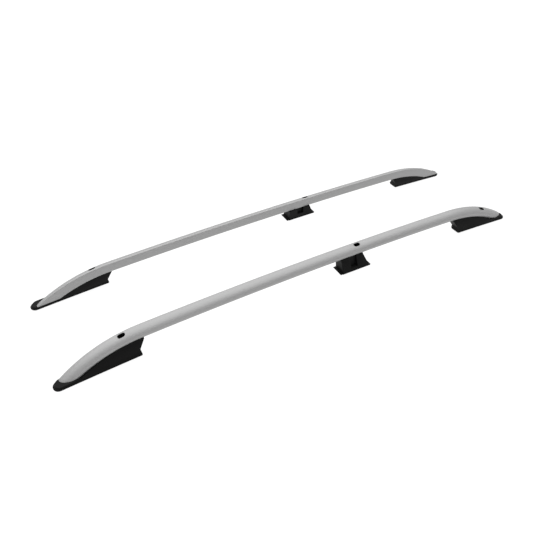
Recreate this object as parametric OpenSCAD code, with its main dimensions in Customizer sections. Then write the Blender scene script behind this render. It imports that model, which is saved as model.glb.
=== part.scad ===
// Pair of roof side rails for a van or estate car: two arched aluminium tubes of one
// D-shaped section, each carried by a front, a middle and a rear foot.
// X runs along the rails with the front toes at -X, Y is across the roof and Z is up.
// Each rail stands as on level ground, with its bases level across and its tube leaning in by the
// slope of the roof it is made for. The toes of the four end feet's gaskets touch Z = 0.

/* [Pair] */
// Length of one rail from toe to toe
rail_length = 1800; // [1600:10:2200]
// Distance between the centre planes of the two rails, at the height of their toes
rail_spacing = 407; // [220:1:1200]

/* [Roof] */
// Rise of the roof under one rail, from its ends to its middle
roof_rise = 32; // [15:1:60]
// Slope of the roof towards its outer edge, where the tubes stand upright, in degrees
roof_lean = 6.8; // [0:0.1:9]

/* [Tube] */
// Width of the tube over its flat inner side and its round outer nose
tube_w = 32.5; // [30:0.1:38]
// Height of the tube
tube_h = 37.2; // [33:0.1:40]
// Distance of the flat inner side from the rail's centre plane
inner_side = 19.1; // [17:0.1:21]
// Radius of the outer nose
nose_r = 13; // [11:0.1:14]
// Radius of the two corners of the inner side
corner_r = 2.5; // [2.3:0.1:4]
// Thickness of the tube wall
wall = 2.2; // [1.6:0.1:2.2]
// Rise of the tube's arch from the ends of its long arc to its middle
tube_arch = 24.6; // [10:0.1:40]
// Clear height between the roof and the tube at mid-length
tube_clearance = 47; // [40:0.1:60]
// Radius of the front bend, and of the rear bend
front_bend_r = 476; // [440:1:520]
rear_bend_r = 490; // [450:1:540]
// Where the front bend begins, and the rear bend, measured from its toe
front_bend_start = 290; // [280:1:310]
rear_bend_start = 279; // [268:1:300]

/* [End feet] */
// Length of the front foot's base
front_foot_length = 275; // [255:1:280]
// Length of the rear foot's base
rear_foot_length = 252; // [235:1:260]
// Width of an end foot's base
end_foot_w = 42.4; // [40:0.1:48]
// Thickness of the base flange, which the mitred tube ends lie on
flange_t = 5; // [4:0.1:7]
// How far the top of the heel stands out past the base
heel_overhang = 18; // [8:1:22]
// Height above the roof, and depth behind the base's end, of the notch between heel and base
heel_notch_h = 17; // [12:1:24]
heel_notch = 4; // [2:0.5:8]
// Radius of the base's corners at the heel, of a front foot and of a rear foot
front_heel_r = 3; // [2:0.5:7]
rear_heel_r = 7; // [2:0.5:7]
// Draft of a foot's outer wall, in degrees
outer_draft = 10; // [6:0.5:12]
// Draft of a foot's inner wall, in degrees
inner_draft = 2; // [1:0.5:4]

/* [Middle foot] */
// Distance from the front toe to the middle foot's base
middle_foot_start = 1011; // [900:1:1040]
// Length and width of the middle foot's base
middle_foot_length = 120; // [110:1:140]
middle_foot_w = 52; // [48:0.1:60]
// Thickness of its base flange
middle_flange_t = 4; // [3:0.1:6]
// Ledge of its flange in front of its walls, and behind them
front_ledge = 2.5; // [1:0.5:5]
rear_ledge = 8; // [4:0.5:10]
// How far the top of its rear face stands in from the end of the base
middle_rake = 24; // [15:1:30]
// Draft of the middle foot's outer wall, in degrees
middle_outer_draft = 13; // [8:0.5:14]
// Radius of the recess in its outer wall
recess_r = 12; // [8:0.5:13]
// Height above the roof of the centre of the recess's round foot
recess_foot = 22; // [16:1:30]
// Distance of the recess from the foot's front edge, and from its outer edge
recess_place = 54; // [45:1:58]
recess_inset = 6; // [3:0.5:8]

/* [Access slots] */
// Length and width of a slot in the top of the tube
slot_length = 25; // [18:0.5:32]
slot_w = 14; // [12:0.5:16]
// Distance of the slots from the rail's centre plane, inwards
slot_inset = 4.8; // [3:0.1:7]
// Distance of the front slot from the front toe
front_slot = 231; // [215:1:240]
// Distance of the middle slot from the front edge of the middle foot
middle_slot_place = 82; // [71:1:88]
// Distance of the rear slot from the rear toe
rear_slot = 113; // [105:1:120]

/* [Fixings] */
// Bore of a foot's sleeve, for a roof bolt
bolt_bore = 6.6; // [5.5:0.1:8.5]
// Outer diameter of a sleeve
sleeve_d = 11; // [10:0.1:12]
// Diameter of the boss that carries the sleeve through the tube's underside
boss_d = 15; // [14:0.1:16]
// Diameter of a foot screw's shank, and of its head
screw_d = 4.2; // [3.5:0.1:5]
screw_head_d = 8; // [7:0.1:9]
// Height of a foot screw's head
screw_head_h = 2.6; // [2:0.1:3.5]
// Thickness of foot that a screw clamps against the tube
screw_grip = 8; // [6:0.5:9]
// How far a screw's end stands inside the tube
screw_end = 5; // [3:0.5:8]
// Gap round a boss in the tube and round a shank or head in a foot
clearance = 0.3; // [0.2:0.05:0.5]

/* [Gaskets] */
// Thickness of the gasket under each foot
gasket_t = 2; // [1:0.1:3]
// How far a gasket's edge stays inside the edge of its foot
gasket_inset = 1; // [0.5:0.1:2]

/* [Hidden] */
$fn = 72;
// Fineness of the bends
bend_fn = 360;
// Longest straight piece that the roof's arc is drawn with
roof_step = 56;
// Gap between a foot's saddle and the tube, below the tube's facets
saddle_gap = 0.25;
left = -1;
right = 1;
front = 0;
rear = 1;
half = rail_length / 2;
// More than any height or depth that a cut has to pass through, and the height that foot walls are drawn to
reach = 200;
wall_reach = 75;

// Section of the tube: y outwards from the centre plane, z from mid-height
nose_y = tube_w - inner_side - nose_r;
crown_y = corner_r - inner_side;
nose_z = nose_r - tube_h / 2;
// The crowned top starts level at the inner side's corner and passes smoothly into the nose
crown_fall = tube_h - 2 * nose_r;
crown_r = nose_r + (pow(nose_y - crown_y, 2) + pow(crown_fall, 2)) / (2 * crown_fall);
crown_z = tube_h / 2 - crown_r;

// Radii and heights of the roof and of the tube's long arc
roof_r = (half * half + roof_rise * roof_rise) / (2 * roof_rise);
arch_r = (half * half + tube_arch * tube_arch) / (2 * tube_arch);
mid_z = roof_rise + tube_clearance + tube_h / 2;
arch_z = mid_z - arch_r;

// The two bends, front then rear, with the rear seen as its mirror image
bend_r = [front_bend_r, rear_bend_r];
bend_start = [front_bend_start, rear_bend_start];
foot_length = [front_foot_length, rear_foot_length];
end_slot = [front_slot, rear_slot];
heel_corner_r = [front_heel_r, rear_heel_r];
middle_slot = middle_foot_start + middle_slot_place;
screw_places = [[120, 175], [160, 212]];
middle_screws = [28, 58];
screw_y = -8;
middle_sink = 5;
function turn_at(e) = asin((half - bend_start[e]) / arch_r);
function bend_x(e) = -(arch_r - bend_r[e]) * sin(turn_at(e));
function bend_z(e) = arch_z + (arch_r - bend_r[e]) * cos(turn_at(e));
// Angle from the vertical of the point of a bend that lies x from its toe
function bend_angle(e, x) = asin((half - x + bend_x(e)) / bend_r[e]);
// Height of the tube's centre x from the toe, in a bend and on the long arc
function bend_height(e, x) = bend_z(e) + bend_r[e] * cos(bend_angle(e, x));
function arch_height(x) = arch_z + sqrt(arch_r * arch_r - pow(x - half, 2));
// Height of the roof under the centre plane, x from the toe
function roof_height(x) = roof_rise - roof_r + sqrt(roof_r * roof_r - pow(x - half, 2));
// Lift that puts the toes of the end gaskets at Z = 0
lift = -roof_height(gasket_inset);
// The last angle of a bend, where the whole section has passed below the mitre
bend_end = 42;
seat_height = tube_h / 2 - 3.5;

// Stand a rail, modelled upright over the sloping roof with its outer side at +Y, on level ground
module on_side(side) {
    translate([0, side * rail_spacing / 2, lift])
        mirror([0, side == left ? 1 : 0, 0])
            rotate([roof_lean, 0, 0])
                children();
}

// Put what is modelled at the front end, toe at x = 0, on its own end
module on_end(e) {
    mirror([e, 0, 0])
        translate([-half, 0, 0])
            children();
}

// The layer from t0 to t1 above the roof, from x = a to b
module roof_layer(t0, t1, a, b) {
    n = ceil((b - a) / roof_step);
    roof = [for (i = [0:n]) let (x = a + (b - a) * i / n) [x, roof_height(x)]];
    rotate([-roof_lean, 0, 0])
        rotate([90, 0, 0])
            linear_extrude(height = reach, center = true)
                polygon(concat([for (p = roof) p + [0, t1]], [for (i = [n:-1:0]) roof[i] + [0, t0]]));
}

// Everything below the roof raised by t, from x = a to b
module below_roof(t, a, b) {
    roof_layer(-reach / 2, t, a, b);
}

// Points of an arc round c, from angle a to b in n steps, from point number k on
function arc(c, r, a, b, n, k = 0) =
    [for (i = [k:n]) let (t = a + (b - a) * i / n) c + r * [cos(t), sin(t)]];

// Outline of the tube as [y, z] points, smaller all round by inset: lower corner, nose, crown
// and upper corner. The nose passes into the crown at crown_turn.
crown_turn = atan2(nose_z - crown_z, nose_y - crown_y);
function outline(inset) = concat(
    arc([crown_y, corner_r - tube_h / 2], corner_r - inset, 180, 270, 3),
    arc([nose_y, nose_z], nose_r - inset, -90, crown_turn, 9),
    arc([crown_y, crown_z], crown_r - inset, crown_turn, 90, 6, 1),
    arc([crown_y, tube_h / 2 - corner_r], corner_r - inset, 90, 180, 3, 1));

// The tube's path as [x, z, turn], x from the front toe, turn from the vertical
bend_steps = 12;
arch_steps = 14;
function bend_station(e, turn) =
    [half + (e == front ? 1 : -1) * (bend_x(e) - bend_r[e] * sin(turn)), bend_z(e) + bend_r[e] * cos(turn),
        (e == front ? -1 : 1) * turn];
function arch_station(turn) = [half + arch_r * sin(turn), arch_z + arch_r * cos(turn), turn];
stations = concat(
    [for (i = [0:bend_steps - 1])
        bend_station(front, bend_end + (turn_at(front) - bend_end) * i / bend_steps)],
    [for (i = [0:arch_steps])
        arch_station(-turn_at(front) + (turn_at(front) + turn_at(rear)) * i / arch_steps)],
    [for (i = [1:bend_steps])
        bend_station(rear, turn_at(rear) + (bend_end - turn_at(rear)) * i / bend_steps)]);
function on_station(s, p) = [s[0] + p[1] * sin(s[2]), p[0], s[1] + p[1] * cos(s[2])];

// The hollow tube, swept along its stations as one skin outside, one inside and a ring at each end
module swept_tube() {
    outer = outline(0);
    inner = outline(wall);
    n = len(outer);
    m = len(stations);
    points = concat([for (s = stations, p = outer) on_station(s, p)],
        [for (s = stations, p = inner) on_station(s, p)]);
    // The four points between points a and b of the outline, from the ring that starts at i to the one at j
    function strip(a, b, i, j) = [i + a, i + b, j + b, j + a];
    function turned(f) = [f[3], f[2], f[1], f[0]];
    function skin(k) = [for (i = [0:m - 2], j = [0:n - 1]) strip(j, (j + 1) % n, k + i * n, k + i * n + n)];
    function ring(i) = [for (j = [0:n - 1]) strip(j, (j + 1) % n, i * n, (m + i) * n)];
    polyhedron(points, concat(skin(0), [for (f = skin(m * n)) turned(f)],
        [for (f = ring(0)) turned(f)], ring(m - 1)), convexity = 6);
}

// Section of the tube with a gap round it, for the saddle of a foot
module saddle_section() {
    u = [nose_y - crown_y, nose_z - crown_z] / (crown_r - nose_r);
    low = -tube_h / 2 - saddle_gap;
    translate([nose_y, nose_z])
        circle(r = nose_r + saddle_gap);
    polygon([[crown_y - reach / 4, low], [nose_y, low], [nose_y, nose_z],
        [nose_y, nose_z] + u * nose_r, [crown_y, tube_h / 2], [crown_y - reach / 4, tube_h / 2]]);
}

// Revolve a section about the axis of an arc of radius r, from angle a to b
module arc_sweep(r, a, b) {
    rotate([0, -90, -90])
        rotate([0, 0, a])
            rotate_extrude(angle = b - a, $fn = bend_fn)
                translate([r, 0])
                    mirror([1, -1])
                        children();
}

// Where the tube runs over a foot: in the bend of an end, and over the middle foot
module bend_saddle(e) {
    translate([half + bend_x(e), 0, bend_z(e)])
        arc_sweep(bend_r[e], -bend_end, 1)
            saddle_section();
}

module middle_saddle(x) {
    at_arch(x)
        rotate([90, 0, 90])
            linear_extrude(height = reach, center = true)
                saddle_section();
}

// Upright obround cutter, centred in plan
module slot(length, w, h) {
    for (x = [-1, 1])
        translate([x * (length - w) / 2, 0, 0])
            cylinder(d = w, h = h);
    translate([-(length - w) / 2, -w / 2, 0])
        cube([length - w, w, h]);
}

// Move to a roof bolt's axis, at the height of the tube's centre there
module at_bolt(x, z) {
    translate([x, -slot_inset, z])
        children();
}

module tube_cuts() {
    slot(slot_length, slot_w, reach);
    rotate([180, 0, 0])
        cylinder(d = boss_d + 2 * clearance, h = reach);
}

// A foot screw's axis, x from the toe, standing on the tube's bend; z = 0 is the underside of the tube
module at_bend_screw(e, x) {
    translate([x, screw_y, bend_height(e, x)])
        rotate([0, -bend_angle(e, x), 0])
            translate([0, 0, -tube_h / 2])
                children();
}

// Move to the tube's centre on the long arc, x from the front toe, turned with it
module at_arch(x) {
    translate([x, 0, arch_height(x)])
        rotate([0, asin((x - half) / arch_r), 0])
            children();
}

module at_arch_screw(x) {
    at_arch(x)
        translate([0, screw_y, -tube_h / 2])
            children();
}

module screw() {
    translate([0, 0, -screw_grip])
        cylinder(d = screw_d, h = screw_grip + wall + screw_end);
    translate([0, 0, -screw_grip - screw_head_h])
        cylinder(d = screw_head_d, h = screw_head_h);
}

// Hole and deep counterbore for a screw, from the foot's underside
module screw_cut() {
    translate([0, 0, -screw_grip - 1])
        cylinder(d = screw_d + 2 * clearance, h = screw_grip + 2);
    translate([0, 0, -screw_grip - reach])
        cylinder(d = screw_head_d + 2 * clearance, h = reach);
}

module screw_holes_in_tube() {
    for (e = [front, rear], x = screw_places[e])
        translate([half, 0, 0])
            mirror([e, 0, 0])
                translate([-half, 0, 0])
                    at_bend_screw(e, x)
                        translate([0, 0, -1])
                            cylinder(d = screw_d, h = wall + 2);
    for (x = middle_screws)
        at_arch_screw(middle_foot_start + x)
            translate([0, 0, -1])
                cylinder(d = screw_d, h = wall + 2);
}

module rail_tube() {
    color([0.72, 0.73, 0.74])
        translate([-half, 0, 0])
            difference() {
                swept_tube();
                below_roof(flange_t, -reach / 2, reach);
                translate([rail_length, 0, 0])
                    mirror([1, 0, 0])
                        below_roof(flange_t, -reach / 2, reach);
                at_bolt(front_slot, bend_height(front, front_slot))
                    tube_cuts();
                at_bolt(middle_slot, arch_height(middle_slot))
                    tube_cuts();
                at_bolt(rail_length - rear_slot, bend_height(rear, rear_slot))
                    tube_cuts();
                screw_holes_in_tube();
            }
}

// Plan of an end foot, smaller all round by inset: round toe at x = 0, square heel with round corners
module end_plan(e, inset) {
    r = end_foot_w / 2;
    c = heel_corner_r[e];
    translate([r, 0])
        circle(r = r - inset, $fn = 2 * $fn);
    translate([r, -r + inset])
        square([foot_length[e] - c - r, 2 * (r - inset)]);
    translate([foot_length[e] - c - inset, -r + c])
        square([c, 2 * (r - c)]);
    for (y = [-1, 1])
        translate([foot_length[e] - c, y * (r - c)])
            circle(r = c - inset);
}

// Wall section of a foot: width w at the roof, drafts on both sides
module wall_section(w, outer) {
    polygon([[-w / 2, -reach / 4], [w / 2, -reach / 4], [w / 2, 0],
        [w / 2 - wall_reach * tan(outer), wall_reach],
        [-w / 2 + wall_reach * tan(inner_draft), wall_reach], [-w / 2, 0]]);
}

// Foot walls from x = a to b, drafted from the height z
module wall_run(a, b, w, outer, z) {
    translate([a, 0, z])
        rotate([90, 0, 90])
            linear_extrude(height = b - a)
                wall_section(w, outer);
}

// Height of the top of a foot's boss above the tube's centre, where the tube is turned by the angle
function boss_top(turn) = wall - tube_h / 2 + boss_d / 2 * tan(turn) + 1;

// Boss that stands up through the tube's underside, z = 0 at the tube's centre
module boss(z) {
    depth = tube_h / 2 + screw_grip;
    translate([0, 0, -depth])
        cylinder(d = boss_d, h = depth + z);
}

module end_foot_solid(e) {
    heel = foot_length[e];
    intersection() {
        translate([0, 0, -reach / 4])
            linear_extrude(height = reach)
                end_plan(e, 0);
        roof_layer(gasket_t, flange_t, -5, heel + 5);
    }
    difference() {
        intersection() {
            wall_run(0, heel + heel_overhang, end_foot_w - 2, outer_draft, roof_height(heel));
            end_wall_plan(heel);
            heel_profile(e);
            translate([half + bend_x(e), 0, bend_z(e)])
                rotate([90, 0, 0])
                    cylinder(r = bend_r[e] - seat_height, h = reach, center = true, $fn = bend_fn);
        }
        bend_saddle(e);
        below_roof(flange_t - 1, -5, heel + reach);
    }
}

// The walls of an end foot seen from the side: notched over the base's end, with the heel's top standing out
module heel_profile(e) {
    heel = foot_length[e];
    base = roof_height(heel);
    top = bend_height(e, heel) - tube_h / 2;
    rotate([90, 0, 0])
        linear_extrude(height = reach, center = true)
            polygon([[0, -reach / 4], [heel - 1, -reach / 4], [heel - 1, base + flange_t],
                [heel - heel_notch, base + heel_notch_h], [heel + heel_overhang, top],
                [heel + heel_overhang, reach], [0, reach]]);
}

// The walls of an end foot seen from above: a round toe and a straight run
module end_wall_plan(heel) {
    r = end_foot_w / 2 - 1;
    translate([end_foot_w / 2, 0, 0])
        cylinder(r = r, h = reach, $fn = 2 * $fn);
    translate([end_foot_w / 2, -r, 0])
        cube([heel, 2 * r, reach]);
}

module end_foot(e) {
    bolt = end_slot[e];
    boss_z = boss_top(bend_angle(e, bolt));
    color([0.09, 0.09, 0.1])
        on_end(e)
            difference() {
                union() {
                    end_foot_solid(e);
                    at_bolt(bolt, bend_height(e, bolt))
                        boss(boss_z);
                }
                for (x = screw_places[e])
                    at_bend_screw(e, x)
                        screw_cut();
                at_bolt(bolt, -reach / 2)
                    cylinder(d = sleeve_d, h = reach);
            }
}

// Plan of the middle foot, smaller all round by inset
module middle_plan(inset) {
    c = corner_r + inset;
    x = middle_foot_length - 2 * c;
    y = middle_foot_w - 2 * c;
    translate([c, -y / 2])
        square([x, y]);
    translate([inset, -y / 2])
        square([middle_foot_length - 2 * inset, y]);
    translate([c, inset - middle_foot_w / 2])
        square([x, middle_foot_w - 2 * inset]);
    for (i = [0, 1], j = [-1, 1])
        translate([c + i * x, j * y / 2])
            circle(r = c - inset);
}

// Side view of the middle foot's walls: upright front face, raked rear face
module middle_profile() {
    // The walls reach down to the profile's own base, below the roof
    flange_top = middle_sink + middle_flange_t;
    back = middle_foot_length - rear_ledge;
    top_back = middle_foot_length - middle_rake;
    polygon([[front_ledge, 0], [front_ledge + 1, tube_clearance], [front_ledge + 1, wall_reach],
        [top_back, wall_reach], [top_back, tube_clearance + middle_sink], [back, flange_top], [back, 0]]);
}

module middle_foot() {
    start = middle_foot_start;
    end = start + middle_foot_length;
    mid = start + middle_foot_length / 2;
    base = roof_height(mid);
    color([0.09, 0.09, 0.1])
        translate([-half, 0, 0])
            difference() {
                union() {
                    intersection() {
                        translate([start, 0, 0])
                            linear_extrude(height = reach)
                                middle_plan(0);
                        roof_layer(gasket_t, middle_flange_t, start - 5, end + 5);
                    }
                    difference() {
                        intersection() {
                            wall_run(start, end, middle_foot_w - 2, middle_outer_draft, base);
                            translate([start, 0, base - middle_sink])
                                rotate([90, 0, 0])
                                    linear_extrude(height = reach, center = true)
                                        middle_profile();
                            at_arch(mid)
                                translate([-reach, -reach, -reach - seat_height])
                                    cube([2 * reach, 2 * reach, reach]);
                        }
                        translate([start + recess_place, middle_foot_w / 2 - recess_inset, base + recess_foot])
                            recess();
                        middle_saddle(mid);
                        below_roof(middle_flange_t - 1, start - 5, end + 5);
                    }
                    at_bolt(middle_slot, arch_height(middle_slot))
                        boss(boss_top(0));
                }
                for (x = middle_screws)
                    at_arch_screw(start + x)
                        screw_cut();
                at_bolt(middle_slot, -reach / 2)
                    cylinder(d = sleeve_d, h = reach);
            }
}

// Upright recess with a round foot, open upwards
module recess() {
    cylinder(r = recess_r, h = reach);
    sphere(r = recess_r);
}

// Sheet of gasket under a plan that starts at x = a and ends at b
module gasket(a, b) {
    color([0.05, 0.05, 0.05])
        intersection() {
            translate([a, 0, -reach / 4])
                linear_extrude(height = reach)
                    children();
            roof_layer(0, gasket_t, a - 5, b + 5);
        }
}

module end_gasket(e) {
    on_end(e)
        difference() {
            gasket(0, foot_length[e])
                end_plan(e, gasket_inset);
            at_bolt(end_slot[e], -reach / 2)
                cylinder(d = sleeve_d, h = reach);
        }
}

module middle_gasket() {
    translate([-half, 0, 0])
        difference() {
            gasket(middle_foot_start, middle_foot_start + middle_foot_length)
                middle_plan(gasket_inset);
            at_bolt(middle_slot, -reach / 2)
                cylinder(d = sleeve_d, h = reach);
        }
}

// Steel sleeve from the underside of a foot to the top of its boss
module sleeve(x, top) {
    low = roof_height(x) - sleeve_d;
    color([0.6, 0.61, 0.62])
        difference() {
            at_bolt(x, low)
                cylinder(d = sleeve_d, h = top - low);
            at_bolt(x, low - 1)
                cylinder(d = bolt_bore, h = top - low + 2);
            below_roof(gasket_t, x - sleeve_d, x + sleeve_d);
        }
}

module end_sleeve(e) {
    x = end_slot[e];
    on_end(e)
        sleeve(x, bend_height(e, x) + boss_top(bend_angle(e, x)));
}

module middle_sleeve() {
    translate([-half, 0, 0])
        sleeve(middle_slot, arch_height(middle_slot) + boss_top(0));
}

module end_screws(e) {
    color([0.55, 0.56, 0.57])
        on_end(e)
            for (x = screw_places[e])
                at_bend_screw(e, x)
                    screw();
}

module middle_screws_pair() {
    color([0.55, 0.56, 0.57])
        translate([-half, 0, 0])
            for (x = middle_screws)
                at_arch_screw(middle_foot_start + x)
                    screw();
}

module left_rail_tube() on_side(left) rail_tube();
module left_front_foot() on_side(left) end_foot(front);
module left_middle_foot() on_side(left) middle_foot();
module left_rear_foot() on_side(left) end_foot(rear);
module left_front_gasket() on_side(left) end_gasket(front);
module left_middle_gasket() on_side(left) middle_gasket();
module left_rear_gasket() on_side(left) end_gasket(rear);
module left_front_sleeve() on_side(left) end_sleeve(front);
module left_middle_sleeve() on_side(left) middle_sleeve();
module left_rear_sleeve() on_side(left) end_sleeve(rear);
module left_front_screws() on_side(left) end_screws(front);
module left_middle_screws() on_side(left) middle_screws_pair();
module left_rear_screws() on_side(left) end_screws(rear);
module right_rail_tube() on_side(right) rail_tube();
module right_front_foot() on_side(right) end_foot(front);
module right_middle_foot() on_side(right) middle_foot();
module right_rear_foot() on_side(right) end_foot(rear);
module right_front_gasket() on_side(right) end_gasket(front);
module right_middle_gasket() on_side(right) middle_gasket();
module right_rear_gasket() on_side(right) end_gasket(rear);
module right_front_sleeve() on_side(right) end_sleeve(front);
module right_middle_sleeve() on_side(right) middle_sleeve();
module right_rear_sleeve() on_side(right) end_sleeve(rear);
module right_front_screws() on_side(right) end_screws(front);
module right_middle_screws() on_side(right) middle_screws_pair();
module right_rear_screws() on_side(right) end_screws(rear);

left_rail_tube();
left_front_foot();
left_middle_foot();
left_rear_foot();
left_front_gasket();
left_middle_gasket();
left_rear_gasket();
left_front_sleeve();
left_middle_sleeve();
left_rear_sleeve();
left_front_screws();
left_middle_screws();
left_rear_screws();
right_rail_tube();
right_front_foot();
right_middle_foot();
right_rear_foot();
right_front_gasket();
right_middle_gasket();
right_rear_gasket();
right_front_sleeve();
right_middle_sleeve();
right_rear_sleeve();
right_front_screws();
right_middle_screws();
right_rear_screws();
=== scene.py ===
# %% [markdown]
# A pair of roof side rails, dressed in Blender
#
# The construction is already there: aluminium tubes, feet, gaskets, sleeves and screws come from the packed
# model, in metres and in place. This lesson gives them their look, one piece at a time. Each step says what
# the piece or finish is on the real object, how it could be made, and why it is made this way here.

# %% Load the frame
from math import asin, atan2, cos, pi, radians, sin, sqrt, tan

import bpy
from mathutils import Matrix, Vector


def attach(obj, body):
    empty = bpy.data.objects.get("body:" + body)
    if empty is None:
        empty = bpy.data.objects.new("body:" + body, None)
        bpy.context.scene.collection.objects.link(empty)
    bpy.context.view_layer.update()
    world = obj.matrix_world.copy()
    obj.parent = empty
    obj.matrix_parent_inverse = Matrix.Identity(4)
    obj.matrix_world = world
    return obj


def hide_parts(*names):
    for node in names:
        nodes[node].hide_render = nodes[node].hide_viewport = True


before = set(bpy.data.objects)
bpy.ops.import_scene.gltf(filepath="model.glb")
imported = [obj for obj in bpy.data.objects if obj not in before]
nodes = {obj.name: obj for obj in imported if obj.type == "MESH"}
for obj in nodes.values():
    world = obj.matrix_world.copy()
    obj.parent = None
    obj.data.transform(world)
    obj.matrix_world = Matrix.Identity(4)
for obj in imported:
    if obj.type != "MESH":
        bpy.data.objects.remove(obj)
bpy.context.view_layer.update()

# %% [markdown]
# The camera
#
# A camera is matched to a photograph by its direction, its distance and its lens. The photograph looks down
# on the rails from the front left, at 38 degrees, with a normal lens. The rails don't lie quite in the middle
# of the picture, so the sensor is shifted by a few hundredths, and the horizon leans by 2 degrees.

# %% Camera
camera_azimuth = radians(-27.05)
camera_elevation = radians(37.97)
camera_roll = -0.0397
camera_distance = 2.176
camera_lens = 38.2
camera_sensor = 36
camera_shift = (-0.0287, -0.0224)
camera_target = Vector((0, 0, 0.002))
camera_sees_to = 40

away = Vector((sin(camera_azimuth) * cos(camera_elevation),
               -cos(camera_azimuth) * cos(camera_elevation),
               sin(camera_elevation)))
level_right = Vector((cos(camera_azimuth), sin(camera_azimuth), 0))
level_up = away.cross(level_right)
camera_right = level_right * cos(camera_roll) + level_up * sin(camera_roll)
camera_up = level_up * cos(camera_roll) - level_right * sin(camera_roll)
camera_turn = Matrix((camera_right, camera_up, away)).transposed().to_4x4()

camera_data = bpy.data.cameras.new("camera")
camera = bpy.data.objects.new("camera", camera_data)
bpy.context.scene.collection.objects.link(camera)
camera.matrix_world = Matrix.Translation(camera_target + away * camera_distance) @ camera_turn
camera_data.lens = camera_lens
camera_data.sensor_width = camera_sensor
camera_data.shift_x, camera_data.shift_y = camera_shift
camera_data.clip_end = camera_sees_to
bpy.context.scene.camera = camera
print("camera at", [round(x, 3) for x in camera.location])

# %% [markdown]
# Floor and light
#
# The rails were photographed on pure white: bright tops, sides a third darker, and no shadow to be seen. A
# studio gets that with a light table, a white sheet lit from below, so the floor glows and is bright even
# under the feet. Lamps near the rails would fade towards the back of the floor, so the light from above is a
# sun, with a disc so wide that it lights as a white ceiling does. The room around is much darker, which is
# what lets the sides of the tubes fall off in tone.

# %% Light table, world and sun
white = (1, 1, 1, 1)
floor_size = 24
floor_colour = (0.1, 0.1, 0.1, 1)
floor_roughness = 0.9
floor_glow = 0.97
room_strength = 0.36
sun_strength = 3.4
sun_width = radians(100)
sun_tilt = radians(-10)


def shader(name):
    """A new material, its node tree and its Principled shader."""
    material = bpy.data.materials.new(name)
    material.use_nodes = True
    return material, material.node_tree, material.node_tree.nodes["Principled BSDF"]


bpy.ops.object.select_all(action="DESELECT")
bpy.ops.mesh.primitive_plane_add(size=floor_size, location=(0, 0, 0))
floor = bpy.context.object
floor.name = "floor"
floor_material, floor_tree, floor_shader = shader("light_table")
floor_shader.inputs["Base Color"].default_value = floor_colour
floor_shader.inputs["Roughness"].default_value = floor_roughness
floor_shader.inputs["Specular IOR Level"].default_value = 0
floor_shader.inputs["Emission Color"].default_value = white
floor_shader.inputs["Emission Strength"].default_value = floor_glow
floor.data.materials.append(floor_material)

world = bpy.data.worlds.new("white_room")
world.use_nodes = True
world.node_tree.nodes["Background"].inputs["Color"].default_value = white
world.node_tree.nodes["Background"].inputs["Strength"].default_value = room_strength
bpy.context.scene.world = world

sun_data = bpy.data.lights.new("ceiling", "SUN")
sun_data.energy = sun_strength
sun_data.angle = sun_width
sun = bpy.data.objects.new("ceiling", sun_data)
sun.rotation_euler = (sun_tilt, 0, 0)
bpy.context.scene.collection.objects.link(sun)
bpy.context.scene.view_settings.view_transform = "Standard"
print("light table, world and sun of", round(sun_data.energy, 2), "W/m2")

# %% [markdown]
# The measures of a rail
#
# The tube is one aluminium extrusion with a D-shaped section: a flat inner side, a round outer nose and a
# crowned top. It was bent twice, near its ends, with a long low arch between. A rail is modelled as it stands
# on the vehicle, upright over a roof that falls away sideways, with x along the rail and its outer side at
# +y. At the end it is leaned in by the slope of that roof, as it stands on level ground. All further places
# are worked out from these few sizes.

# %% Measures
mm = 0.001
half_length = 0.9
rail_spacing = 0.407
roof_rise = 32 * mm
roof_lean = radians(6.8)
tube_width = 32.5 * mm
tube_height = 37.2 * mm
inner_side = 19.1 * mm
nose_radius = 13 * mm
corner_radius = 2.5 * mm
wall = 2.2 * mm
arch_rise = 24.6 * mm
tube_clearance = 47 * mm
bend_radius = {"front": 0.476, "rear": 0.490}
bend_start = {"front": 0.290, "rear": 0.279}
end_way = {"front": -1, "rear": 1}
gasket_inset = 1 * mm

mid_height = roof_rise + tube_clearance + tube_height / 2
arch_radius = (half_length ** 2 + arch_rise ** 2) / (2 * arch_rise)
arch_centre = Vector((0, 0, mid_height - arch_radius))
roof_radius = (half_length ** 2 + roof_rise ** 2) / (2 * roof_rise)
bend_turn = {}
bend_centre = {}
for end, way in end_way.items():
    bend_turn[end] = asin((half_length - bend_start[end]) / arch_radius)
    towards = Vector((way * sin(bend_turn[end]), 0, cos(bend_turn[end])))
    bend_centre[end] = arch_centre + (arch_radius - bend_radius[end]) * towards


def roof_height(x):
    """Height of the roof under the rail's centre plane."""
    return roof_rise - roof_radius + sqrt(roof_radius ** 2 - x ** 2)


def tube_arc(x):
    """Centre and radius of the arc that the tube's centre line follows at x."""
    end = "front" if x < 0 else "rear"
    if abs(x) < half_length - bend_start[end]:
        return arch_centre, arch_radius
    return bend_centre[end], bend_radius[end]


def tube_place(x):
    """Height of the tube's centre line at x, and its turn from level."""
    centre, radius = tube_arc(x)
    turn = asin((x - centre.x) / radius)
    return centre.z + radius * cos(turn), turn


lift = -roof_height(half_length - gasket_inset)
print("arch radius", round(arch_radius, 3), "m")
print("tube's centre", round(mid_height / mm, 1), "mm up at the middle")

# %% [markdown]
# Helpers for modelling
#
# Operators act on whatever is selected, so each step first selects one thing and nothing else. With no
# window, a spin turns against the right-hand rule, which its helper puts right. Modifiers are applied as soon
# as they are set, so each step sees the mesh that the one before left.

# %% Helpers
same_place = 0.001 * mm


def select_only(piece):
    """Makes a piece the active one, and the only one selected."""
    bpy.ops.object.select_all(action="DESELECT")
    bpy.context.view_layer.objects.active = piece
    piece.select_set(True)


def duplicate(piece, name):
    """A copy of a piece with its own mesh, selected and active."""
    select_only(piece)
    bpy.ops.object.duplicate()
    copy = bpy.context.object
    copy.name = name
    copy.data.name = name
    return copy


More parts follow.
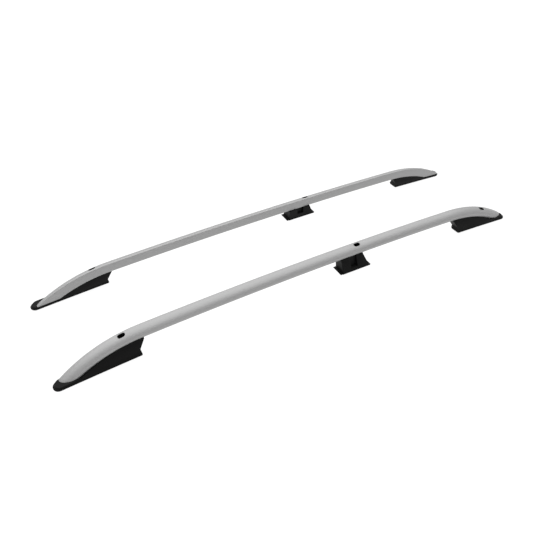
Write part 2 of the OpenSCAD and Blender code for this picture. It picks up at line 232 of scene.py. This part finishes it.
def apply(piece, kind, **settings):
    """Gives a piece a modifier and applies it at once."""
    modifier = piece.modifiers.new(kind.lower(), kind)
    for setting, value in settings.items():
        setattr(modifier, setting, value)
    select_only(piece)
    bpy.ops.object.modifier_apply(modifier=modifier.name)


def combine(piece, operation, other):
    """Unites a piece with another one or cuts that one out of it, and removes the other one."""
    apply(piece, "BOOLEAN", operation=operation, object=other, solver="EXACT")
    bpy.data.objects.remove(other)


def spin(angle, centre, axis, steps):
    """Sweeps what is selected round an axis, by the right-hand rule."""
    bpy.ops.mesh.spin(steps=steps, angle=-angle, center=centre, axis=axis)


def select_where(piece, test, mode="VERT"):
    """Leaves the piece in edit mode with only the vertices selected whose place passes the test."""
    select_only(piece)
    bpy.ops.object.mode_set(mode="EDIT")
    bpy.ops.mesh.select_mode(type="VERT")
    bpy.ops.mesh.select_all(action="DESELECT")
    bpy.ops.object.mode_set(mode="OBJECT")
    for vertex in piece.data.vertices:
        vertex.select = test(vertex.co)
    bpy.ops.object.mode_set(mode="EDIT")
    bpy.ops.mesh.select_mode(type=mode)


def slide_where(piece, test, distance):
    """Moves the vertices whose place passes the test along x."""
    select_where(piece, test)
    bpy.ops.transform.translate(value=(distance, 0, 0))
    bpy.ops.object.mode_set(mode="OBJECT")


def cylinder(radius, depth, sides):
    """An upright cylinder, its middle at the origin."""
    bpy.ops.object.select_all(action="DESELECT")
    bpy.ops.mesh.primitive_cylinder_add(vertices=sides, radius=radius, depth=depth, location=(0, 0, 0))
    return bpy.context.object


# %% [markdown]
# The section of the tube
#
# A curve with a bevel object could carry this section along a path, but then the corners of the section are
# at the mercy of the curve's twist. Here the outline is drawn at the middle of the rail with one vertex that
# is spun and extruded: round the lower corner, along the flat bottom, round the nose, over the crown and
# round the upper corner, and closed by the flat inner side.

# %% Outline of the tube
nose_y = tube_width - inner_side - nose_radius
nose_z = nose_radius - tube_height / 2
crown_y = corner_radius - inner_side
crown_fall = tube_height - 2 * nose_radius
crown_radius = nose_radius + ((nose_y - crown_y) ** 2 + crown_fall ** 2) / (2 * crown_fall)
crown_z = tube_height / 2 - crown_radius
crown_turn = atan2(nose_z - crown_z, nose_y - crown_y)
middle = Vector((0, 0, mid_height))
along = (1, 0, 0)
corner_steps = 5
nose_steps = 24
crown_steps = 16

bpy.ops.object.select_all(action="DESELECT")
bpy.ops.mesh.primitive_plane_add(size=1 * mm, location=(0, 0, 0))
right_tube = bpy.context.object
right_tube.name = "right_tube"
right_tube.data.name = "right_tube"
bpy.ops.object.mode_set(mode="EDIT")
bpy.ops.mesh.select_all(action="SELECT")
bpy.ops.mesh.merge(type="CENTER")
bpy.ops.transform.translate(value=middle + Vector((0, -inner_side, corner_radius - tube_height / 2)))
spin(pi / 2, middle + Vector((0, crown_y, corner_radius - tube_height / 2)), along, corner_steps)
bpy.ops.mesh.extrude_region_move(TRANSFORM_OT_translate={"value": (0, nose_y - crown_y, 0)})
spin(pi / 2 + crown_turn, middle + Vector((0, nose_y, nose_z)), along, nose_steps)
spin(pi / 2 - crown_turn, middle + Vector((0, crown_y, crown_z)), along, crown_steps)
spin(pi / 2, middle + Vector((0, crown_y, tube_height / 2 - corner_radius)), along, corner_steps)
bpy.ops.mesh.select_all(action="SELECT")
bpy.ops.mesh.edge_face_add()
bpy.ops.mesh.delete(type="ONLY_FACE")
bpy.ops.object.mode_set(mode="OBJECT")
print("outline of", len(right_tube.data.vertices), "points, crown radius", round(crown_radius / mm, 1), "mm")

# %% [markdown]
# The sweep
#
# The real tube is straight until a bending machine turns it about two axes. The outline does the same here:
# from the middle it is spun about the centre of the long arch, and then about the centre of the bend, once
# towards each end. The ring that a spin leaves selected is the one that the next spin takes on. Solidify then
# gives the skin its wall, inwards, so that the outside keeps its size.

# %% Sweep and wall
sideways = (0, 1, 0)
arch_steps = 24
bend_steps = 30
past_the_toe = radians(42)

for end, way in end_way.items():
    select_where(right_tube, lambda place: abs(place.x) < same_place, mode="EDGE")
    spin(way * bend_turn[end], arch_centre, sideways, arch_steps)
    spin(way * (past_the_toe - bend_turn[end]), bend_centre[end], sideways, bend_steps)
    bpy.ops.object.mode_set(mode="OBJECT")
select_where(right_tube, lambda place: True)
bpy.ops.mesh.normals_make_consistent(inside=False)
bpy.ops.object.mode_set(mode="OBJECT")
apply(right_tube, "SOLIDIFY", thickness=wall, offset=-1, use_even_offset=True)
print("tube of", len(right_tube.data.polygons), "faces")

# %% [markdown]
# Slots, holes and mitred ends
#
# In the works the tube is milled and drilled after bending: an access slot in its top over each roof bolt, a
# clearance hole for the foot's boss below it, pilot holes for the foot screws, and its two ends sawn off
# parallel to the roof. Each cut is modelled as the tool that makes it. A slot's cutter is a cylinder whose
# two halves are moved apart. An end's cutter is a block, bisected by the plane of the cut. Joined into one
# piece, they are taken from the tube in one Boolean.

# %% Cutters
bolt_places = (-0.669, 0.193, 0.787)
bolt_y = -4.8 * mm
slot_radius = 7 * mm
slot_stretch = 5.5 * mm
slot_sides = 48
boss_hole_radius = 7.8 * mm
boss_hole_sides = 64
cut_depth = 50 * mm
cut_start = 2 * mm
screw_places = (-0.780, -0.725, 0.139, 0.169, 0.688, 0.740)
screw_y = -8 * mm
screw_hole_radius = 2.1 * mm
screw_hole_depth = 20 * mm
screw_hole_sides = 32
end_block_size = 0.4
end_block_x = 0.92
toe_seat = {"front": 11 * mm, "rear": 12 * mm}
slope_near = half_length - 75 * mm
slope_far = half_length - 12 * mm
roof_slope = (roof_height(slope_near) - roof_height(slope_far)) / (slope_far - slope_near)


def slot_cutter(x):
    """The cutter of the access slot at x, in the top of the tube."""
    slot = cylinder(slot_radius, cut_depth, slot_sides)
    for way in (-1, 1):
        slide_where(slot, lambda place: place.x * way > same_place, way * slot_stretch)
    slot.location = (x, bolt_y, tube_place(x)[0] + cut_depth / 2 + cut_start)
    return slot


def boss_cutter(x):
    """The cutter of the hole for the foot's boss at x, in the bottom of the tube."""
    hole = cylinder(boss_hole_radius, cut_depth, boss_hole_sides)
    hole.location = (x, bolt_y, tube_place(x)[0] - cut_depth / 2 - cut_start)
    return hole


def screw_cutter(x):
    """The cutter of the pilot hole at x, square to the bottom of the tube."""
    height, turn = tube_place(x)
    hole = cylinder(screw_hole_radius, screw_hole_depth, screw_hole_sides)
    hole.rotation_euler = (0, turn, 0)
    hole.location = Vector((x, screw_y, height)) - tube_height / 2 * Vector((sin(turn), 0, cos(turn)))
    return hole


def end_cutter(end, way):
    """The block below the plane that an end is sawn off along."""
    bpy.ops.object.select_all(action="DESELECT")
    bpy.ops.mesh.primitive_cube_add(size=end_block_size, location=(way * end_block_x, 0, 0))
    block = bpy.context.object
    cut_height = (roof_height(slope_far) + toe_seat[end]) / cos(roof_lean)
    bpy.ops.object.mode_set(mode="EDIT")
    bpy.ops.mesh.select_all(action="SELECT")
    bpy.ops.mesh.bisect(plane_co=(way * slope_far, 0, cut_height),
                        plane_no=(way * roof_slope, sin(roof_lean), cos(roof_lean)),
                        clear_outer=True, use_fill=True)
    bpy.ops.object.mode_set(mode="OBJECT")
    return block


cutters = []
for x in bolt_places:
    cutters += [slot_cutter(x), boss_cutter(x)]
for x in screw_places:
    cutters.append(screw_cutter(x))
for end, way in end_way.items():
    cutters.append(end_cutter(end, way))
select_only(cutters[0])
for cutter in cutters:
    cutter.select_set(True)
bpy.ops.object.join()
combine(right_tube, "DIFFERENCE", bpy.context.object)
print("cut tube of", len(right_tube.data.polygons), "faces")

# %% [markdown]
# Broken edges
#
# Sawn and milled edges are broken before the tube is anodised, which is why they catch the light. A bevel
# that is limited by the angle between faces finds just those edges. The curved faces are shaded smooth, and
# the flat ones keep their edges, by an angle again.

# %% Edges and shading
edge_steps = 2
smooth_up_to = radians(25)


def round_edges(piece, width, sharp_from):
    """Rounds the edges that are sharper than an angle, and shades the curved faces smooth."""
    apply(piece, "BEVEL", width=width, segments=edge_steps, limit_method="ANGLE", angle_limit=sharp_from)
    select_only(piece)
    bpy.ops.object.shade_smooth_by_angle(angle=smooth_up_to)


round_edges(right_tube, width=0.4 * mm, sharp_from=radians(40))
print("finished tube of", len(right_tube.data.polygons), "faces")

# %% [markdown]
# Which way the grain runs
#
# The anodised surface keeps fine lines from the extrusion die, and they follow the tube round its bends.
# Object coordinates alone would run straight on where the tube turns down. So each vertex is given its place
# on the straight tube, before bending: how far along it is, and its two coordinates in the section.

# %% Grain attribute
grain = right_tube.data.attributes.new("grain", "FLOAT_VECTOR", "POINT")
for vertex, straight in zip(right_tube.data.vertices, grain.data):
    centre, radius = tube_arc(vertex.co.x)
    spoke = vertex.co - centre
    turn = atan2(spoke.x, spoke.z)
    straight.vector = (radius * turn, vertex.co.y, sqrt(spoke.x ** 2 + spoke.z ** 2) - radius)
print("grain on", len(right_tube.data.vertices), "vertices")

# %% [markdown]
# Painted shade inside
#
# Only the outside of the tube is polished and anodised to be looked at. The inside faces are found by how
# deep they lie under the section's outline, and get a near-black colour of their own: painted shade, for the
# dark that falls inside the bare aluminium tube. It is what one sees through the slots.

# %% Faces of the inside
inside_slot = 1
inside_from = 0.7 * wall


def outline_depth(y, h):
    """How deep a point of the section lies under the outline, at least: positive inside."""
    flats = min(y + inner_side, h + tube_height / 2)
    if y > nose_y and h < nose_z + (y - nose_y) * tan(crown_turn):
        return min(flats, nose_radius - sqrt((y - nose_y) ** 2 + (h - nose_z) ** 2))
    if y > crown_y:
        return min(flats, crown_radius - sqrt((y - crown_y) ** 2 + (h - crown_z) ** 2))
    return min(flats, tube_height / 2 - h)


inside_count = 0
for face in right_tube.data.polygons:
    depths = [outline_depth(grain.data[v].vector[1], grain.data[v].vector[2]) for v in face.vertices]
    if min(depths) > inside_from:
        face.material_index = inside_slot
        inside_count += 1
print(inside_count, "faces inside")

# %% [markdown]
# Leaning and mirroring
#
# The finished tube is leaned in by the roof's slope and moved to its side of the pair. The left rail is the
# mirror image of the right one: a copy with its own mesh is scaled by minus one across the pair. That turns
# its faces inside out, so they are flipped back.

# %% Place both tubes
def stand(piece):
    """Leans a finished piece of the right rail, and puts it in its place in the pair."""
    piece.rotation_euler = (roof_lean, 0, 0)
    piece.location = (0, rail_spacing / 2, lift)
    select_only(piece)
    bpy.ops.object.transform_apply(location=True, rotation=True, scale=True)


def mirrored(piece, name):
    """A mirrored copy for the left rail."""
    copy = duplicate(piece, name)
    copy.scale = (1, -1, 1)
    bpy.ops.object.transform_apply(location=True, rotation=True, scale=True)
    bpy.ops.object.mode_set(mode="EDIT")
    bpy.ops.mesh.select_all(action="SELECT")
    bpy.ops.mesh.flip_normals()
    bpy.ops.object.mode_set(mode="OBJECT")
    return copy


stand(right_tube)
left_tube = mirrored(right_tube, "left_tube")
for side, tube in (("right", right_tube), ("left", left_tube)):
    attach(tube, "root")
    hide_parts(f"{side}_rail_tube")
print("two tubes, sharing no mesh:", right_tube.data is not left_tube.data)

# %% [markdown]
# The feet
#
# An end foot is one injection moulding: a thin base flange, drafted walls that rise to a saddle under the
# tube, a notched heel, and at the toe a raised seat that the mitred end of the tube sits on. The solid model
# has its saddle and walls already. A copy of its mesh keeps them: the loose triangles are merged, and almost
# flat ones dissolved into whole faces, which straightens the slight curve of the hidden underside a little.
# The toe seat starts as a cone, as its walls slope in. It is stretched back under the tube, set between two
# layers of the roof, and united with the foot.

# %% End feet
foot_width = 42.4 * mm
flange = 5 * mm
seat_radius = foot_width / 2 - 0.6 * mm
seat_slope = 1.6 * mm
seat_tip = 5 * mm
seat_overlap = 1 * mm
seat_back = {"front": 95 * mm, "rear": 85 * mm}
seat_sides = 96
merge_distance = 0.01 * mm
flat_up_to = radians(0.6)


def merged_copy(place):
    """A copy of the solid model's right foot at a place, with whole faces."""
    copy = duplicate(nodes[f"right_{place}_foot"], f"right_{place}_moulding")
    copy.data.materials.clear()
    bpy.ops.object.mode_set(mode="EDIT")
    bpy.ops.mesh.select_all(action="SELECT")
    bpy.ops.mesh.remove_doubles(threshold=merge_distance)
    bpy.ops.mesh.dissolve_limited(angle_limit=flat_up_to)
    bpy.ops.object.mode_set(mode="OBJECT")
    return copy


def lay_on_roof(block, low_layer, high_layer):
    """Sets an upright block between two layers above the roof, which falls away sideways."""
    for vertex in block.data.vertices:
        x, y, z = vertex.co
        layer = high_layer if z > 0 else low_layer
        vertex.co.z = (roof_height(x) + layer - y * sin(roof_lean)) / cos(roof_lean)


def toe_seat_block(end, way):
    """The raised seat between the flange and the end of the tube, upright over the roof."""
    stretch_back = seat_back[end] - 2 * seat_radius
    bpy.ops.object.select_all(action="DESELECT")
    bpy.ops.mesh.primitive_cone_add(vertices=seat_sides, radius1=seat_radius,
                                    radius2=seat_radius - seat_slope, depth=2)
    block = bpy.context.object
    slide_where(block, lambda place: place.x * way < -same_place, -way * stretch_back)
    slide_where(block, lambda place: place.z > 0, -way * seat_tip)
    for vertex in block.data.vertices:
        vertex.co.x += way * (half_length - foot_width / 2)
    lay_on_roof(block, flange - seat_overlap, toe_seat[end])
    return block


for end, way in end_way.items():
    foot = merged_copy(end)
    seat = toe_seat_block(end, way)
    stand(seat)
    combine(foot, "UNION", seat)
    print(foot.name, len(foot.data.polygons), "faces")

# %% [markdown]
# The middle foot
#
# The middle foot has a base flange that reaches further forward than its upright front wall. Each of its two
# side walls has a pocket, open up to the tube, that keeps the moulding from sinking over the bolt boss. The
# lip is a block as thin as the flange, laid on the roof like the toe seats, and united with the foot. The
# pockets are blocks taken away from it, and stop short of the boss. The outer one goes lower, to take in the
# scoop that the solid model has there.

# %% Middle foot
middle_start = 111 * mm
middle_end = 231 * mm
middle_width = 52 * mm
middle_flange = 4 * mm
gasket_thickness = 2 * mm
lip_underside = gasket_thickness + 0.3 * mm
lip_reach = 8 * mm
lip_overlap = 12 * mm
lip_side = middle_width / 2 - 0.5 * mm
pocket_front = middle_start + 39 * mm
pocket_rear = middle_start + 66.5 * mm
pocket_base = roof_height((middle_start + middle_end) / 2)
pocket_height = 60 * mm
outer_pocket = {"bottom": 9.7 * mm, "near": 8 * mm, "far": 40 * mm}
inner_pocket = {"bottom": 23 * mm, "near": -40 * mm, "far": -14 * mm}


def block_between(low, high):
    """A box with its corners at two places."""
    bpy.ops.object.select_all(action="DESELECT")
    bpy.ops.mesh.primitive_cube_add(size=1, location=(0, 0, 0))
    block = bpy.context.object
    block.scale = [b - a for a, b in zip(low, high)]
    block.location = [(a + b) / 2 for a, b in zip(low, high)]
    bpy.ops.object.transform_apply(location=True, rotation=True, scale=True)
    return block


foot = merged_copy("middle")
lip = block_between((middle_start - lip_reach, -lip_side, 0), (middle_start + lip_overlap, lip_side, 1))
lay_on_roof(lip, lip_underside, middle_flange)
stand(lip)
combine(foot, "UNION", lip)
for pocket in (outer_pocket, inner_pocket):
    bottom = pocket_base + pocket["bottom"]
    block = block_between((pocket_front, pocket["near"], bottom),
                          (pocket_rear, pocket["far"], bottom + pocket_height))
    stand(block)
    combine(foot, "DIFFERENCE", block)
print(foot.name, len(foot.data.polygons), "faces")

# %% [markdown]
# Mould radii
#
# No edge of a moulding is sharp. All edges get the small radius that a mould gives them, by a bevel limited
# by the angle between faces. Each foot is then mirrored for the left rail, and stands in for its solid node.

# %% Rounded edges, and the left feet
mouldings = []
for place in ("front", "middle", "rear"):
    foot = bpy.data.objects[f"right_{place}_moulding"]
    round_edges(foot, width=0.6 * mm, sharp_from=radians(30))
    other = mirrored(foot, f"left_{place}_moulding")
    for side, moulding in (("right", foot), ("left", other)):
        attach(moulding, "root")
        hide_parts(f"{side}_{place}_foot")
        mouldings.append(moulding)
    print(place, "feet of", len(foot.data.polygons), "faces")

# %% [markdown]
# Satin anodised aluminium
#
# Anodising leaves a matt, slightly milky silver: a metal whose highlights are spread wide, over fine die
# lines along the tube. A rough metal alone looks like a mirror of the white room and has no shape. Some
# diffuse share, as an oxide layer has, gives the tube its tones from top to side. The lines are noise on the
# grain attribute, stretched along the tube, and drive roughness, tint and a shallow bump.

# %% Aluminium
noise_low = 0.3
noise_high = 0.7


def add(tree, kind, **settings):
    """A node of the given kind, its settings, and its inputs where a key names one."""
    node = tree.nodes.new(kind)
    for setting, value in settings.items():
        if hasattr(node, setting):
            setattr(node, setting, value)
        else:
            node.inputs[setting.replace("_", " ")].default_value = value
    return node


def spread(tree, source, low, high):
    """Maps the values that a noise mostly has to a range of values."""
    node = add(tree, "ShaderNodeMapRange", From_Min=noise_low, From_Max=noise_high, To_Min=low, To_Max=high)
    tree.links.new(source, node.inputs["Value"])
    return node.outputs["Result"]


def grey(tree, source):
    """A neutral colour of the given brightness."""
    node = add(tree, "ShaderNodeCombineColor")
    for channel in ("Red", "Green", "Blue"):
        tree.links.new(source, node.inputs[channel])
    return node.outputs["Color"]


def vary_roughness(tree, principled, source, low, high):
    """Lets a noise vary the roughness between two values."""
    tree.links.new(spread(tree, source, low, high), principled.inputs["Roughness"])


def vary_grey(tree, principled, source, low, high):
    """Lets a noise vary the colour between two greys."""
    tree.links.new(grey(tree, spread(tree, source, low, high)), principled.inputs["Base Color"])


def emboss(tree, principled, source, strength, distance):
    """Lets a noise raise the surface, by a shallow bump."""
    bump = add(tree, "ShaderNodeBump", Strength=strength, Distance=distance)
    tree.links.new(source, bump.inputs["Height"])
    tree.links.new(bump.outputs["Normal"], principled.inputs["Normal"])


def noise(tree, where, **settings):
    """A noise on the given coordinates."""
    node = add(tree, "ShaderNodeTexNoise", **settings)
    tree.links.new(where, node.inputs["Vector"])
    return node.outputs["Fac"]


def stretched_noise(tree, where, factors, **settings):
    """A noise whose marks are longest along the axis with the smallest factor."""
    stretch = add(tree, "ShaderNodeMapping", Scale=factors)
    tree.links.new(where, stretch.inputs["Vector"])
    return noise(tree, stretch.outputs["Vector"], Scale=1, **settings)


def grain_place(tree):
    """The coordinates of the grain attribute."""
    return add(tree, "ShaderNodeAttribute", attribute_name="grain").outputs["Vector"]


aluminium, tree, principled = shader("satin_anodised")
principled.inputs["Metallic"].default_value = 0.3
principled.inputs["Specular IOR Level"].default_value = 0.5
die_lines = stretched_noise(tree, grain_place(tree), factors=(1.5, 900, 900), Detail=3, Roughness=0.6)
vary_roughness(tree, principled, die_lines, low=0.44, high=0.54)
vary_grey(tree, principled, die_lines, low=0.325, high=0.35)
emboss(tree, principled, die_lines, strength=0.12, distance=0.05 * mm)

# The inside is bare aluminium; its near-black colour is painted shade, the dark that falls inside the tube.
painted_shade_inside, tree, principled = shader("painted_shade_inside")
principled.inputs["Specular IOR Level"].default_value = 0.02
blotches = stretched_noise(tree, grain_place(tree), factors=(20, 300, 300), Detail=2)
vary_roughness(tree, principled, blotches, low=0.55, high=0.75)
vary_grey(tree, principled, blotches, low=0.001, high=0.003)

for tube in (right_tube, left_tube):
    tube.data.materials.append(aluminium)
    tube.data.materials.append(painted_shade_inside)
print("aluminium on", len(right_tube.data.materials), "slots of each tube")

# %% [markdown]
# Black moulded plastic
#
# The feet are glass-filled nylon, black all through, with the fine grain that spark erosion gives a mould.
# The grain is a small-scale noise in the bump, and a broader one varies the roughness, as moulding does. The
# colour is very dark, because even black plastic reflects a white room.

# %% Plastic
def grained(name, brightness, rough, specular, scale, relief):
    """A dull dark material with a grain on Object coordinates, for plastic and rubber."""
    material, tree, principled = shader(name)
    principled.inputs["Specular IOR Level"].default_value = specular
    where = add(tree, "ShaderNodeTexCoord").outputs["Object"]
    fine = noise(tree, where, Scale=scale, Detail=4, Roughness=0.65)
    broad = noise(tree, where, Scale=40, Detail=2)
    vary_roughness(tree, principled, broad, low=rough - 0.05, high=rough + 0.05)
    vary_grey(tree, principled, fine, low=0.8 * brightness, high=1.2 * brightness)
    emboss(tree, principled, fine, strength=relief, distance=0.06 * mm)
    return material


plastic = grained("black_nylon", brightness=0.0035, rough=0.5, specular=0.12, scale=1800, relief=0.35)
for moulding in mouldings:
    moulding.data.materials.append(plastic)
print("black nylon on", len(mouldings), "feet")

# %% [markdown]
# Rubber, steel and zinc
#
# The gaskets are matt rubber, duller and coarser than the feet. The sleeves are turned from steel bar, so
# their surface has rings across their axis. The screws are zinc plated, with a slightly cloudy shine. These
# pieces have the right shape in the solid model, so they stay as they are and only get their finish.

# %% Small parts
def plated(name, tint, rough, factors, relief):
    """A bare or plated metal, with marks stretched by the three factors."""
    material, tree, principled = shader(name)
    principled.inputs["Metallic"].default_value = 1
    principled.inputs["Base Color"].default_value = (*tint, 1)
    where = add(tree, "ShaderNodeTexCoord").outputs["Object"]
    marks = stretched_noise(tree, where, factors, Detail=3)
    vary_roughness(tree, principled, marks, low=rough - 0.06, high=rough + 0.08)
    emboss(tree, principled, marks, strength=relief, distance=0.03 * mm)
    return material


finishes = {
    "gasket": grained("matt_rubber", brightness=0.007, rough=0.85, specular=0.15, scale=900, relief=0.5),
    "sleeve": plated("turned_steel", tint=(0.5, 0.5, 0.51), rough=0.32, factors=(60, 60, 2500), relief=0.3),
    "screws": plated("zinc_plate", tint=(0.52, 0.54, 0.56), rough=0.36, factors=(500, 500, 500), relief=0.1),
}
for name, node in nodes.items():
    kind = name.split("_")[-1]
    if kind in finishes:
        node.data.materials.clear()
        node.data.materials.append(finishes[kind])
print("finishes:", ", ".join(finishes))
